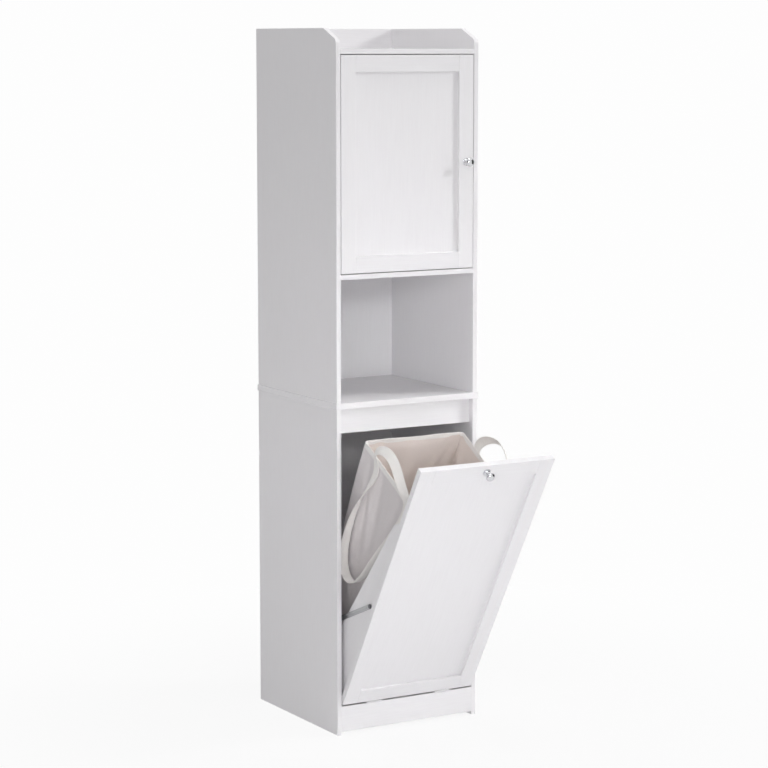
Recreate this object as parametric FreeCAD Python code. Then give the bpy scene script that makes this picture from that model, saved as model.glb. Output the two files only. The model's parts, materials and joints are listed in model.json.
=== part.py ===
import FreeCAD, Part
import math
import os
from FreeCAD import Vector

# Driving sizes in millimetres. Depth (y) is counted from the front edges of the sides, to the back.
HEIGHT = 1700.0           # floor to the top of the gallery
CASE_WIDTH = 396.0        # over the outer faces of the sides
CASE_DEPTH = 400.0        # front edge to back edge of a side
PANEL = 12.0              # thickness of sides, shelves and rails
BOARD = 15.0              # thickness of the middle board
OVERHANG = 2.0            # middle board past the sides, all round
BASE_HEIGHT = 798.0       # lower sides
NICHE_HEIGHT = 295.0      # clear height of the open niche
GALLERY_HEIGHT = 49.0     # sides above the top panel
CHAMFER_RUN = 60.0        # sloped corner of the gallery, along the depth
CHAMFER_DROP = 28.0       # and down
CHAMFER_ROUND = 14.0
EASE = 0.6                # broken edges of boards

BACK = 3.0                # thin back panels, held in grooves
GROOVE_DEPTH = 4.0
GROOVE_INSET = 8.0
GROOVE_PLAY = 0.2

DOOR_THICK = 15.0
DOOR_GAP = 2.0
FRAME_WIDTH = 40.0        # stiles and rails of both doors
DOOR_PANEL = 5.0
DOOR_RECESS = 7.0         # frame face to panel face
TONGUE = 8.0              # depth of the frame grooves
CLOSING_GAP = 0.4         # tilt door to the apron when shut

RAIL_LIFT = 8.0           # base rail above the floor
RAIL_HEIGHT = 62.5
APRON_HEIGHT = 60.0
BOTTOM_LIFT = 44.0        # underside of the bottom panel
SHELF_SETBACK = 45.0      # adjustable shelf behind the front edges
SHELF_PLAY = 1.0

DOWEL_RADIUS = 3.0
DOWEL_IN_SIDE = 8.0
DOWEL_IN_PANEL = 16.0
DOWEL_IN_BOARD = 14.0
CAM_RADIUS = 6.0
CAM_DEPTH = 9.0
CAM_REACH = 24.0          # cam centre from the panel's end
BOLT_RADIUS = 2.5
FIT = 0.1                 # radial room round dowels, cams, screws and bolts
JOINT_FRONT = 60.0        # cams, from the front and from the back
DOWEL_OFFSET = 50.0       # dowels further in than the cams
PIN_RADIUS = 2.5          # shelf pins
PIN_PITCH = 32.0
PIN_INSET = 60.0

KNOB_FLANGE = 9.5
KNOB_NECK = 4.5
KNOB_HEAD = 11.0
KNOB_REACH = 26.0
KNOB_SCREW = 2.0
KNOB_SCREW_HEAD = 4.0

CUP_RADIUS = 13.0         # concealed cup hinges of the upper door
CUP_DEPTH = 11.5
CUP_WALL = 0.9
CUP_INSET = 17.0          # pin and cup centre from the door's edge
CUP_HINGE_INSET = 80.0    # from the door's ends
CUP_FLANGE = 1.2
CUP_SCREW_PITCH = 39.0
HINGE_PIN_RADIUS = 1.5
ARM_THICK = 1.6
ARM_WIDTH = 9.0
ARM_LENGTH = 42.0
ARM_LIFT = 5.0
PLATE_THICK = 1.8

HINGE_GAP = 2.4           # tilt door above the base rail
BARREL_RADIUS = 2.3       # butt hinges of the tilt door
BARREL_ROOM = 0.1
BUTT_PIN_RADIUS = 1.2
PIN_FIT = 0.05
BUTT_LENGTH = 42.0
BUTT_SPREAD = 97.0        # hinge centres from the middle
LEAF_THICK = 1.0
LEAF_DEPTH = 11.0
KNUCKLE_ROOM = 0.25
SMALL_SCREW = 1.5
SMALL_HEAD = 2.6
SCREW_LENGTH = 10.0

TILT = 30.0               # tilt door fully out, in degrees
CHEEK_GAP = 12.0          # cheek to side panel
CHEEK_FOOT = 10.0         # lower end of a cheek above the hinge line
CHEEK_TOP = 557.0
CHEEK_LOW_DEPTH = 127.0   # behind the door at the foot
CHEEK_HIGH_DEPTH = 30.0   # behind the door at the head
CHEEK_ROUND = 6.0
CHEEK_DOWEL = 80.0        # end dowels from the ends of a cheek
TRAY_LIFT = 88.0          # tray under the bag, above the hinge line
FLOOR_DEPTH = 235.0       # and its depth

PIVOT_HEIGHT = 292.0      # stay pivot above the hinge line
PIVOT_BACK = 31.0         # and behind the door's face
STAY_SPAN = 91.0          # angle at the hinge line between a stay's two pins, door out
STAY_WIDTH = 12.0
STAY_THICK = 2.0
STAY_ROOM = 0.5           # stay to cheek
STAY_PIN = 2.5
STAY_FIT = 0.3
STAY_HEAD = 5.5
STAY_HEAD_THICK = 3.4
STAY_TAIL = 8.0           # bar past its slot
BEAD_WIDTH = 5.0
BEAD_HEIGHT = 1.0

BAG_WIDTH = 278.0
BAG_DEPTH = 283.0         # at the rim
BAG_FOOT = 225.0          # depth at the tray
BAG_HEIGHT = 479.0
BAG_WALL = 2.5
BAG_ROUND = 10.0
BAG_ROOM = 2.0            # bag to door
SOFT_GAP = 0.3
HEM_HEIGHT = 14.0
HEM_PROUD = 0.8
STRAP_WIDTH = 24.0
STRAP_THICK = 1.6
STRAP_RISE = 59.0         # handle arch above the rim
STRAP_DROP = 327.0        # bight below the rim
STRAP_FRONT = 66.0        # front leg, behind the door's face
STRAP_BACK = 237.0        # back leg
# The strap's course: share of the way from front to back, and share of the rise or, if negative, of the drop
STRAP_COURSE = [
    (0.97, 0.10), (0.80, 0.78), (0.56, 1.0), (0.35, 0.80), (0.18, 0.42), (0.04, 0.05),
    (0.0, -0.18), (0.11, -0.48), (0.23, -0.69), (0.37, -0.885), (0.58, -1.0), (0.79, -0.98),
    (0.93, -0.875), (1.0, -0.69), (0.98, -0.445), (0.90, -0.225), (0.89, -0.08),
]

CATCH_WIDTH = 40.0
CATCH_DEPTH = 14.0
CATCH_HEIGHT = 12.0
CATCH_SIDE = 46.0         # from the side panel
STRIKE_THICK = 0.8

# Levels and places that follow from the sizes above
HALF = CASE_WIDTH / 2
INNER = HALF - PANEL
BOARD_TOP = BASE_HEIGHT + BOARD
SHELF_BOTTOM = BOARD_TOP + NICHE_HEIGHT
SHELF_TOP = SHELF_BOTTOM + PANEL
TRAY_FLOOR = HEIGHT - GALLERY_HEIGHT
TOP_BOTTOM = TRAY_FLOOR - PANEL
BACK_FACE = CASE_DEPTH - GROOVE_INSET - BACK
RAIL_TOP = RAIL_LIFT + RAIL_HEIGHT
BOTTOM_TOP = BOTTOM_LIFT + PANEL
APRON_FACE = DOOR_THICK + CLOSING_GAP
DOOR_HALF = INNER - DOOR_GAP
DOOR_LOW, DOOR_HIGH = SHELF_TOP + DOOR_GAP, TOP_BOTTOM - DOOR_GAP
TILT_LOW, TILT_HIGH = RAIL_TOP + HINGE_GAP, BASE_HEIGHT - DOOR_GAP
AXIS_Y = -(BARREL_RADIUS + BARREL_ROOM)
AXIS_Z = RAIL_TOP + HINGE_GAP / 2
AXIS = Vector(0, AXIS_Y, AXIS_Z)
CHEEK_OUT = INNER - CHEEK_GAP
CHEEK_IN = CHEEK_OUT - PANEL
TRAY_TOP = AXIS_Z + TRAY_LIFT + PANEL
BAG_FRONT = DOOR_THICK + BAG_ROOM
BAG_RIM = TRAY_TOP + SOFT_GAP + BAG_HEIGHT
KNOB_HEIGHT = TILT_HIGH - FRAME_WIDTH / 2
SIN, COS = math.sin(math.radians(TILT)), math.cos(math.radians(TILT))

# The origin lies on the floor under the middle of the whole outline, tilt door out
REACH = (KNOB_HEIGHT - AXIS_Z) * SIN + (KNOB_REACH + AXIS_Y) * COS - AXIS_Y
SHIFT = Vector(0, (REACH - CASE_DEPTH - OVERHANG) / 2, 0)

SIDES = {"left": -1, "right": 1}
X, Y, Z = Vector(1, 0, 0), Vector(0, 1, 0), Vector(0, 0, 1)


def box(x, y, z):
    """A block between two limits on each axis."""
    size = [limits[1] - limits[0] for limits in (x, y, z)]
    return Part.makeBox(*size, Vector(x[0], y[0], z[0]))


def board(x, y, z):
    """A block with its edges broken."""
    block = box(x, y, z)
    return block.makeChamfer(EASE, block.Edges)


def rod(radius, start, end):
    return Part.makeCylinder(radius, (end - start).Length, start, end - start)


def ordered(a, b):
    return (min(a, b), max(a, b))


def round_edges(shape, radius, spots):
    """Rounds the edges along x that pass through the given (y, z) spots."""
    def near(edge, spot):
        middle = edge.valueAt((edge.FirstParameter + edge.LastParameter) / 2)
        return math.hypot(middle.y - spot[0], middle.z - spot[1]) < EASE and edge.BoundBox.XLength > EASE
    edges = [edge for edge in shape.Edges if any(near(edge, spot) for spot in spots)]
    return shape.makeFillet(radius, edges)


def plate(outline, x):
    """A flat plate from a (y, z) outline, between two x limits."""
    points = [Vector(x[0], y, z) for y, z in outline]
    face = Part.Face(Part.makePolygon(points + points[:1]))
    return face.extrude(X * (x[1] - x[0]))


def group(shapes):
    return Part.makeCompound(shapes)


def upper_side(sign):
    outline = [
        (0, BOARD_TOP),
        (CASE_DEPTH, BOARD_TOP),
        (CASE_DEPTH, HEIGHT),
        (CHAMFER_RUN, HEIGHT),
        (0, HEIGHT - CHAMFER_DROP),
    ]
    side = plate(outline, ordered(sign * INNER, sign * HALF))
    side = round_edges(side, CHAMFER_ROUND, [outline[3], outline[4]])
    outer = [e for e in side.Edges if e.BoundBox.XLength < EASE]
    side = side.makeChamfer(EASE, outer)
    return side.cut(back_groove(sign, BOARD_TOP, TOP_BOTTOM))


def lower_side(sign):
    side = board(ordered(sign * INNER, sign * HALF), (0, CASE_DEPTH), (0, BASE_HEIGHT))
    return side.cut(back_groove(sign, BOTTOM_LIFT, BASE_HEIGHT))


def back_groove(sign, low, high):
    deep = ordered(sign * INNER, sign * (INNER + GROOVE_DEPTH))
    wide = (BACK_FACE - GROOVE_PLAY, BACK_FACE + BACK + GROOVE_PLAY)
    return box(deep, wide, (low, high))


def back_panel(low, high):
    half = INNER + GROOVE_DEPTH - GROOVE_PLAY
    return box((-half, half), (BACK_FACE, BACK_FACE + BACK), (low, high))


def case_panels():
    """Boards of the carcass, before they are drilled."""
    between = (-INNER, INNER)
    to_back = BACK_FACE - GROOVE_PLAY
    half_board = HALF + OVERHANG
    panels = {f"{name}_side_upper": upper_side(sign) for name, sign in SIDES.items()}
    panels.update({f"{name}_side_lower": lower_side(sign) for name, sign in SIDES.items()})
    panels["top_panel"] = board(between, (0, CASE_DEPTH), (TOP_BOTTOM, TRAY_FLOOR))
    panels["gallery_rail"] = board(between, (CASE_DEPTH - PANEL, CASE_DEPTH), (TRAY_FLOOR, HEIGHT))
    panels["fixed_shelf"] = board(between, (0, to_back), (SHELF_BOTTOM, SHELF_TOP))
    panels["middle_board"] = board(
        (-half_board, half_board), (-OVERHANG, CASE_DEPTH + OVERHANG), (BASE_HEIGHT, BOARD_TOP)
    )
    panels["apron_rail"] = board(
        between, (APRON_FACE, APRON_FACE + PANEL), (BASE_HEIGHT - APRON_HEIGHT, BASE_HEIGHT)
    )
    panels["base_rail"] = board(between, (0, PANEL), (RAIL_LIFT, RAIL_TOP))
    panels["bottom_panel"] = board(between, (PANEL, to_back), (BOTTOM_LIFT, BOTTOM_TOP))
    panels["upper_back"] = back_panel(BOARD_TOP, TOP_BOTTOM)
    panels["lower_back"] = back_panel(BOTTOM_LIFT, BASE_HEIGHT)
    return panels


def side_joints():
    """For each panel between the sides: its (y, z) dowels, its (y, z) cams and the side it meets."""
    def flat(middle, level, depth):
        rear = depth - JOINT_FRONT
        dowels = [(JOINT_FRONT + DOWEL_OFFSET, middle), (rear - DOWEL_OFFSET, middle)]
        cams = [(JOINT_FRONT, middle), (rear, middle)]
        return dowels, cams, level

    def upright(middle, low, high, level):
        quarter = (high - low) / 4
        return [(middle, low + quarter), (middle, high - quarter)], [], level

    return {
        "top_panel": flat((TOP_BOTTOM + TRAY_FLOOR) / 2, "upper", CASE_DEPTH),
        "fixed_shelf": flat((SHELF_BOTTOM + SHELF_TOP) / 2, "upper", CASE_DEPTH),
        "bottom_panel": flat((BOTTOM_LIFT + BOTTOM_TOP) / 2, "lower", CASE_DEPTH),
        "gallery_rail": upright(CASE_DEPTH - PANEL / 2, TRAY_FLOOR, HEIGHT, "upper"),
        "apron_rail": upright(APRON_FACE + PANEL / 2, BASE_HEIGHT - APRON_HEIGHT, BASE_HEIGHT, "lower"),
        "base_rail": upright(PANEL / 2, RAIL_LIFT, RAIL_TOP, "lower"),
    }


def join_case(panels):
    """Drills the boards and makes their dowels, cams and cam bolts."""
    holes = {name: [] for name in panels}
    dowels, cams, bolts = [], [], []
    for name, (dowel_spots, cam_spots, level) in side_joints().items():
        for side, sign in SIDES.items():
            mates = (name, f"{side}_side_{level}")
            for y, z in dowel_spots:
                ends = [Vector(sign * x, y, z) for x in (INNER - DOWEL_IN_PANEL, INNER + DOWEL_IN_SIDE)]
                dowels.append(rod(DOWEL_RADIUS, *ends))
                drill(holes, mates, rod(DOWEL_RADIUS + FIT, *ends))
            for y, z in cam_spots:
                seat = Vector(sign * (INNER - CAM_REACH), y, z - PANEL / 2)
                ends = [Vector(seat.x, y, z), Vector(sign * (INNER + DOWEL_IN_SIDE), y, z)]
                bolts.append(rod(BOLT_RADIUS, *ends))
                bore = rod(BOLT_RADIUS + FIT, *ends)
                drill(holes, mates, bore)
                cams.append(rod(CAM_RADIUS, seat, seat + Z * CAM_DEPTH).cut(bore))
                drill(holes, (name,), rod(CAM_RADIUS + FIT, seat, seat + Z * CAM_DEPTH))
    for side, sign in SIDES.items():
        for y in (JOINT_FRONT, CASE_DEPTH - JOINT_FRONT):
            levels = (BASE_HEIGHT - DOWEL_IN_BOARD, BOARD_TOP + DOWEL_IN_BOARD)
            ends = [Vector(sign * (HALF - PANEL / 2), y, z) for z in levels]
            dowels.append(rod(DOWEL_RADIUS, *ends))
            mates = ("middle_board", f"{side}_side_lower", f"{side}_side_upper")
            drill(holes, mates, rod(DOWEL_RADIUS + FIT, *ends))
    return holes, {"dowels": group(dowels), "cam_discs": group(cams), "cam_bolts": group(bolts)}


def drill(holes, names, bore):
    for name in names:
        holes[name].append(bore)


def shelf_and_pins(holes):
    """The loose shelf of the upper cupboard on four pins, with spare heights above and below."""
    middle = (SHELF_TOP + TOP_BOTTOM) / 2
    rear = BACK_FACE - GROOVE_PLAY
    half = INNER - SHELF_PLAY
    under = middle + PIN_RADIUS
    shelf = board((-half, half), (SHELF_SETBACK, rear), (under, under + PANEL))
    pins = []
    for side, sign in SIDES.items():
        for y in (PIN_INSET + SHELF_SETBACK, rear - PIN_INSET):
            for step in (-1, 0, 1):
                z = middle + step * PIN_PITCH
                ends = [Vector(sign * x, y, z) for x in (INNER - DOWEL_IN_SIDE, INNER + DOWEL_IN_SIDE)]
                drill(holes, (f"{side}_side_upper",), rod(PIN_RADIUS + FIT, *ends))
                if step == 0:
                    pins.append(rod(PIN_RADIUS, *ends))
    return {"adjustable_shelf": shelf, "shelf_pins": group(pins)}


def framed_door(prefix, stile_names, low, high):
    """Two stiles, two rails tongued into them and a panel held in grooves, shut."""
    groove = (DOOR_RECESS - GROOVE_PLAY, DOOR_RECESS + DOOR_PANEL + GROOVE_PLAY)
    tongue = (DOOR_RECESS, DOOR_RECESS + DOOR_PANEL)
    thick = (0, DOOR_THICK)
    inside = DOOR_HALF - FRAME_WIDTH
    reach = TONGUE - GROOVE_PLAY
    pieces = {}
    for name, sign in zip(stile_names, (-1, 1)):
        stile = board(ordered(sign * inside, sign * DOOR_HALF), thick, (low, high))
        slot = box(ordered(sign * inside, sign * (inside + TONGUE)), groove, (low, high))
        pieces[f"{prefix}_{name}"] = stile.cut(slot)
    for name, z, edge in (("bottom_rail", low, low + FRAME_WIDTH), ("top_rail", high - FRAME_WIDTH, high)):
        rail = board((-inside, inside), thick, (z, z + FRAME_WIDTH))
        inner_edge, inward = (edge, -1) if name == "bottom_rail" else (z, 1)
        slot_end = inner_edge + inward * TONGUE
        rail = rail.cut(box((-inside, inside), groove, ordered(inner_edge, slot_end)))
        outer_edge = inner_edge + inward * FRAME_WIDTH
        for sign in SIDES.values():
            end = ordered(sign * (inside - TONGUE), sign * (inside + reach))
            rail = rail.fuse(box(end, tongue, ordered(slot_end, outer_edge)))
        pieces[f"{prefix}_{name}"] = rail.removeSplitter()
    half = inside + reach
    level = (low + FRAME_WIDTH - reach, high - FRAME_WIDTH + reach)
    pieces[f"{prefix}_panel"] = box((-half, half), tongue, level)
    return pieces


def knob(x, z):
    """A turned knob on the door's face: flange, waisted neck and domed head, drawn as half a section."""
    head_start = KNOB_REACH * 0.5
    rim = KNOB_REACH * 0.72
    flange_edge = KNOB_FLANGE * 0.24

    def at(radius, out):
        return Vector(radius, -out, 0)

    neck_mid = at(KNOB_NECK, (flange_edge + head_start) / 2)
    rise = KNOB_REACH - rim
    ball = (KNOB_HEAD ** 2 + rise ** 2) / (2 * rise)
    half_turn = math.asin(KNOB_HEAD / ball) / 2
    dome_mid = at(ball * math.sin(half_turn), KNOB_REACH - ball + ball * math.cos(half_turn))
    half_section = [
        Part.LineSegment(at(0, 0), at(KNOB_FLANGE, 0)).toShape(),
        Part.LineSegment(at(KNOB_FLANGE, 0), at(KNOB_FLANGE, flange_edge)).toShape(),
        Part.Arc(at(KNOB_FLANGE, flange_edge), neck_mid, at(KNOB_HEAD * 0.7, head_start)).toShape(),
        Part.LineSegment(at(KNOB_HEAD * 0.7, head_start), at(KNOB_HEAD, rim)).toShape(),
        Part.Arc(at(KNOB_HEAD, rim), dome_mid, at(0, KNOB_REACH)).toShape(),
        Part.LineSegment(at(0, KNOB_REACH), at(0, 0)).toShape(),
    ]
    body = Part.Face(Part.Wire(half_section)).revolve(Vector(), Y, 360)
    bore = rod(KNOB_SCREW + FIT, Vector(), -Y * SCREW_LENGTH)
    body = body.cut(bore)
    body.translate(Vector(x, 0, z))
    return body


def knob_screw(x, z, room=0.0):
    """The screw that holds a knob through the door, its head sunk flush in the door's back."""
    back = Vector(x, DOOR_THICK, z)
    shank = rod(KNOB_SCREW + room, back - Y * (DOOR_THICK + SCREW_LENGTH - 1), back)
    return shank.fuse(rod(KNOB_SCREW_HEAD + room, back - Y * KNOB_SCREW, back))


def add_knob(pieces, prefix, carrier, x, z):
    pieces[carrier] = pieces[carrier].cut(knob_screw(x, z, FIT))
    pieces[f"{prefix}_knob"] = knob(x, z)
    pieces[f"{prefix}_knob_screw"] = knob_screw(x, z)


def cup_hinge(z):
    """One concealed hinge: cup and pin on the door, bent arm and plate on the side, and the bores."""
    pin = Vector(-DOOR_HALF + CUP_INSET, DOOR_THICK / 2, z)
    back = Vector(pin.x, DOOR_THICK, z)
    floor = back - Y * CUP_DEPTH
    cup = rod(CUP_RADIUS - PIN_FIT, floor, back + Y * CUP_FLANGE)
    ear = CUP_SCREW_PITCH / 2
    rim = rod(CUP_RADIUS + 1.5, back, back + Y * CUP_FLANGE)
    bar = box((pin.x - 5, pin.x + 5), (DOOR_THICK, DOOR_THICK + CUP_FLANGE), (z - ear, z + ear))
    ears = [rod(5, back + Z * s * ear, back + Z * s * ear + Y * CUP_FLANGE) for s in (-1, 1)]
    cup = cup.multiFuse([rim, bar] + ears).removeSplitter()
    hollow = rod(CUP_RADIUS - CUP_WALL, floor + Y * CUP_WALL, back + Y * (CUP_FLANGE + 1))
    cup = cup.cut(hollow)
    screws, seats = [], [rod(CUP_RADIUS, floor, back)]
    for s in (-1, 1):
        top = back + Z * s * ear + Y * CUP_FLANGE
        end = top - Y * SCREW_LENGTH
        screws.append(rod(SMALL_SCREW, end, top).fuse(rod(SMALL_HEAD, top, top + Y * SMALL_SCREW)))
        hole = rod(SMALL_SCREW + FIT, end, top)
        seats.append(hole)
        cup = cup.cut(hole)
    half_pin = CUP_RADIUS - CUP_WALL - 4 * PIN_FIT - HINGE_PIN_RADIUS / 4
    pivot = rod(HINGE_PIN_RADIUS, pin - Z * half_pin, pin + Z * half_pin)
    arm = hinge_arm(pin)
    wall = -INNER
    start = pin.y + ARM_LENGTH / 2
    plate_back = start + ARM_LENGTH
    mount = box((wall, wall + PLATE_THICK), (start, plate_back), (z - 20, z + 20))
    plate_screws, side_bores = [], []
    for s in (-1, 1):
        top = Vector(wall + PLATE_THICK, (start + plate_back) / 2, z + s * 14)
        end = top - X * SCREW_LENGTH
        plate_screws.append(rod(SMALL_SCREW, end, top).fuse(rod(SMALL_HEAD, top, top + X * SMALL_SCREW)))
        hole = rod(SMALL_SCREW + FIT, end, top)
        mount = mount.cut(hole)
        side_bores.append(hole)
    return cup, pivot, arm, mount, screws, plate_screws, seats, side_bores


def hinge_arm(pin):
    """A strip bent like a goose's neck: out of the cup, round the door's edge and back to the side."""
    eye = HINGE_PIN_RADIUS + ARM_THICK * 0.8
    low = Vector(pin.x, pin.y, pin.z - ARM_WIDTH / 2)
    neck_y = DOOR_THICK - pin.y + CUP_FLANGE * 2
    crown_y = CUP_INSET + 4.0
    right = CUP_RADIUS
    path = Part.Wire([
        Part.LineSegment(Vector(), Vector(right * 0.58, neck_y)).toShape(),
        Part.Arc(Vector(right * 0.58, neck_y), Vector(right, (neck_y + crown_y) / 2),
                 Vector(right * 0.65, crown_y)).toShape(),
        Part.LineSegment(Vector(right * 0.65, crown_y), Vector(-CUP_INSET, crown_y)).toShape(),
    ])
    strip = path.makeOffset2D(ARM_THICK, fill=True, openResult=True).extrude(Z * ARM_WIDTH)
    strip.translate(low)
    wall = -INNER + PLATE_THICK
    foot = box(
        (wall, wall + ARM_LIFT),
        (pin.y + crown_y - ARM_THICK, pin.y + ARM_LENGTH * 1.5),
        (low.z, low.z + ARM_WIDTH),
    )
    ring = rod(eye, low, low + Z * ARM_WIDTH)
    arm = strip.multiFuse([foot, ring]).removeSplitter()
    arm = arm.cut(box((-INNER - PANEL, wall), (0, CASE_DEPTH), (low.z - 1, low.z + ARM_WIDTH + 1)))
    return arm.cut(rod(HINGE_PIN_RADIUS + PIN_FIT, low - Z, low + Z * (ARM_WIDTH + 1)))


def upper_door(holes):
    """The inset upper door with its knob, concealed hinges and strike, and the case's half of them."""
    door = framed_door("door", ("hinge_stile", "knob_stile"), DOOR_LOW, DOOR_HIGH)
    add_knob(door, "door", "door_knob_stile", DOOR_HALF - FRAME_WIDTH / 2, (DOOR_LOW + DOOR_HIGH) / 2)
    hinges = [cup_hinge(z) for z in (DOOR_LOW + CUP_HINGE_INSET, DOOR_HIGH - CUP_HINGE_INSET)]
    cups, pivots, arms, mounts, screws, plate_screws, seats, side_bores = zip(*hinges)
    door["door_hinge_stile"] = door["door_hinge_stile"].cut([s for pair in seats for s in pair])
    door["cup_hinge_cups"] = group(cups)
    door["cup_hinge_pins"] = group(pivots)
    door["cup_hinge_cup_screws"] = group([s for pair in screws for s in pair])
    case = {
        "cup_hinge_arms": group(arms),
        "cup_hinge_plates": group(mounts),
        "cup_hinge_plate_screws": group([s for pair in plate_screws for s in pair]),
    }
    for bore in [b for pair in side_bores for b in pair]:
        drill(holes, ("left_side_upper",), bore)
    strike, catch = magnetic_catch(holes, door)
    door.update(strike)
    case.update(catch)
    return door, case


def magnetic_catch(holes, door):
    """A catch screwed under the top panel and its steel strike on the door's back."""
    right = INNER - CATCH_SIDE
    front = DOOR_THICK + STRIKE_THICK + CLOSING_GAP
    level = (TOP_BOTTOM - CATCH_HEIGHT, TOP_BOTTOM)
    body = board((right - CATCH_WIDTH, right), (front, front + CATCH_DEPTH), level)
    screws = []
    for x in (right - CATCH_WIDTH * 0.25, right - CATCH_WIDTH * 0.75):
        under = Vector(x, front + CATCH_DEPTH / 2, level[0])
        end = under + Z * (CATCH_HEIGHT + SCREW_LENGTH)
        screws.append(rod(SMALL_SCREW, under, end).fuse(rod(SMALL_HEAD, under - Z * SMALL_SCREW, under)))
        bore = rod(SMALL_SCREW + FIT, under, end)
        body = body.cut(bore)
        drill(holes, ("top_panel",), bore)
    middle = Vector(right - CATCH_WIDTH / 2, DOOR_THICK, (level[0] + level[1]) / 2)
    half = CATCH_WIDTH * 0.4
    strike = box(
        (middle.x - half, middle.x + half),
        (DOOR_THICK, DOOR_THICK + STRIKE_THICK),
        (middle.z - CATCH_HEIGHT * 0.45, middle.z + CATCH_HEIGHT * 0.45 - DOOR_GAP),
    )
    end = middle - Y * SCREW_LENGTH
    bore = rod(SMALL_SCREW + FIT, end, middle + Y * STRIKE_THICK)
    door["door_top_rail"] = door["door_top_rail"].cut(bore)
    strike_screw = rod(SMALL_SCREW, end, middle + Y * STRIKE_THICK)
    pieces = {"catch_strike": strike.cut(bore), "catch_strike_screw": strike_screw}
    return pieces, {"catch_body": body, "catch_screws": group(screws)}


def butt_hinge(x, down):
    """One leaf of a butt hinge with its knuckles and flush screws: down on the rail, or up on the door."""
    third = BUTT_LENGTH / 3
    spans = [(x - third / 2, x + third / 2)]
    if down:
        spans = [(x - BUTT_LENGTH / 2, spans[0][0]), (spans[0][1], x + BUTT_LENGTH / 2)]
    face = RAIL_TOP if down else TILT_LOW
    level = ordered(face, face + (LEAF_THICK if down else -LEAF_THICK))
    leaf = box((x - BUTT_LENGTH / 2, x + BUTT_LENGTH / 2), (AXIS_Y, LEAF_DEPTH), level)
    inset = KNUCKLE_ROOM / 2
    room = BARREL_RADIUS + KNUCKLE_ROOM
    whole = (x - BUTT_LENGTH / 2 - 1, x + BUTT_LENGTH / 2 + 1)
    knuckles = [rod(BARREL_RADIUS, AXIS + X * (a + inset), AXIS + X * (b - inset)) for a, b in spans]
    gaps = gaps_between(whole, spans, inset)
    leaf = leaf.cut([rod(room, AXIS + X * a, AXIS + X * b) for a, b in gaps])
    leaf = leaf.multiFuse(knuckles).removeSplitter()
    leaf = leaf.cut(rod(BUTT_PIN_RADIUS + PIN_FIT, AXIS + X * whole[0], AXIS + X * whole[1]))
    way = -Z if down else Z
    screws, bores = [], []
    for dx in (-third, third):
        top = Vector(x + dx, LEAF_DEPTH / 2 + 1, level[1] if down else level[0])
        screws.append(rod(SMALL_HEAD, top, top + way * LEAF_THICK).fuse(
            rod(SMALL_SCREW, top, top + way * SCREW_LENGTH)))
        leaf = leaf.cut(rod(SMALL_HEAD + PIN_FIT, top, top + way * LEAF_THICK))
        bores.append(rod(SMALL_SCREW + FIT, top, top + way * SCREW_LENGTH))
    return leaf, screws, bores


def gaps_between(whole, spans, inset):
    """The stretches of a barrel that belong to the other leaf."""
    edges = [whole[0]] + [v for a, b in spans for v in (a + inset, b - inset)] + [whole[1]]
    return [(a, b) for a, b in zip(edges[::2], edges[1::2])]


def tilt_hinges(holes, tilt):
    leaves = {True: [], False: []}
    screws = {True: [], False: []}
    pins = []
    for x in (-BUTT_SPREAD, BUTT_SPREAD):
        for down in (True, False):
            leaf, hinge_screws, bores = butt_hinge(x, down)
            leaves[down].append(leaf)
            screws[down] += hinge_screws
            if down:
                holes["base_rail"] += bores
            else:
                tilt["hamper_bottom_rail"] = tilt["hamper_bottom_rail"].cut(bores)
        half = BUTT_LENGTH / 2
        pins.append(rod(BUTT_PIN_RADIUS, AXIS + X * (x - half), AXIS + X * (x + half)))
    tilt["butt_hinge_door_leaves"] = group(leaves[False])
    tilt["butt_hinge_door_screws"] = group(screws[False])
    return {
        "butt_hinge_rail_leaves": group(leaves[True]),
        "butt_hinge_rail_screws": group(screws[True]),
        "butt_hinge_pins": group(pins),
    }


def cheeks_and_tray(tilt):
    """Two tapering cheeks doweled to the stiles, and the tray between them that carries the bag."""
    foot, head = AXIS_Z + CHEEK_FOOT, AXIS_Z + CHEEK_TOP
    under = AXIS_Z + TRAY_LIFT
    corner = CHEEK_HIGH_DEPTH * 0.85
    outline = [
        (DOOR_THICK, foot),
        (DOOR_THICK + CHEEK_LOW_DEPTH, foot),
        (DOOR_THICK + CHEEK_HIGH_DEPTH, head - corner),
        (DOOR_THICK + CHEEK_HIGH_DEPTH - corner, head),
        (DOOR_THICK, head),
    ]
    tray = board((-CHEEK_IN, CHEEK_IN), (DOOR_THICK, DOOR_THICK + FLOOR_DEPTH), (under, TRAY_TOP))
    dowels = []
    for side, sign in SIDES.items():
        cheek = plate(outline, ordered(sign * CHEEK_IN, sign * CHEEK_OUT))
        cheek = round_edges(cheek, CHEEK_ROUND, outline[1:3])
        rods = []
        for z in (foot + CHEEK_DOWEL, (foot + head) / 2, head - CHEEK_DOWEL):
            spot = Vector(sign * (CHEEK_IN + CHEEK_OUT) / 2, DOOR_THICK, z)
            rods.append((spot - Y * DOWEL_IN_SIDE, spot + Y * DOWEL_IN_PANEL, f"hamper_{side}_stile"))
        for y in (DOOR_THICK + CHEEK_LOW_DEPTH * 0.3, DOOR_THICK + CHEEK_LOW_DEPTH * 0.75):
            spot = Vector(sign * CHEEK_IN, y, under + PANEL / 2)
            rods.append((spot - X * sign * DOWEL_IN_PANEL, spot + X * sign * DOWEL_IN_SIDE, "tray"))
        bores = []
        for start, end, mate in rods:
            dowels.append(rod(DOWEL_RADIUS, start, end))
            bore = rod(DOWEL_RADIUS + FIT, start, end)
            bores.append(bore)
            if mate == "tray":
                tray = tray.cut(bore)
            else:
                tilt[mate] = tilt[mate].cut(bore)
        tilt[f"hamper_{side}_cheek"] = cheek.cut(bores)
    tilt["hamper_tray"] = tray
    tilt["hamper_dowels"] = group(dowels)


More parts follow.
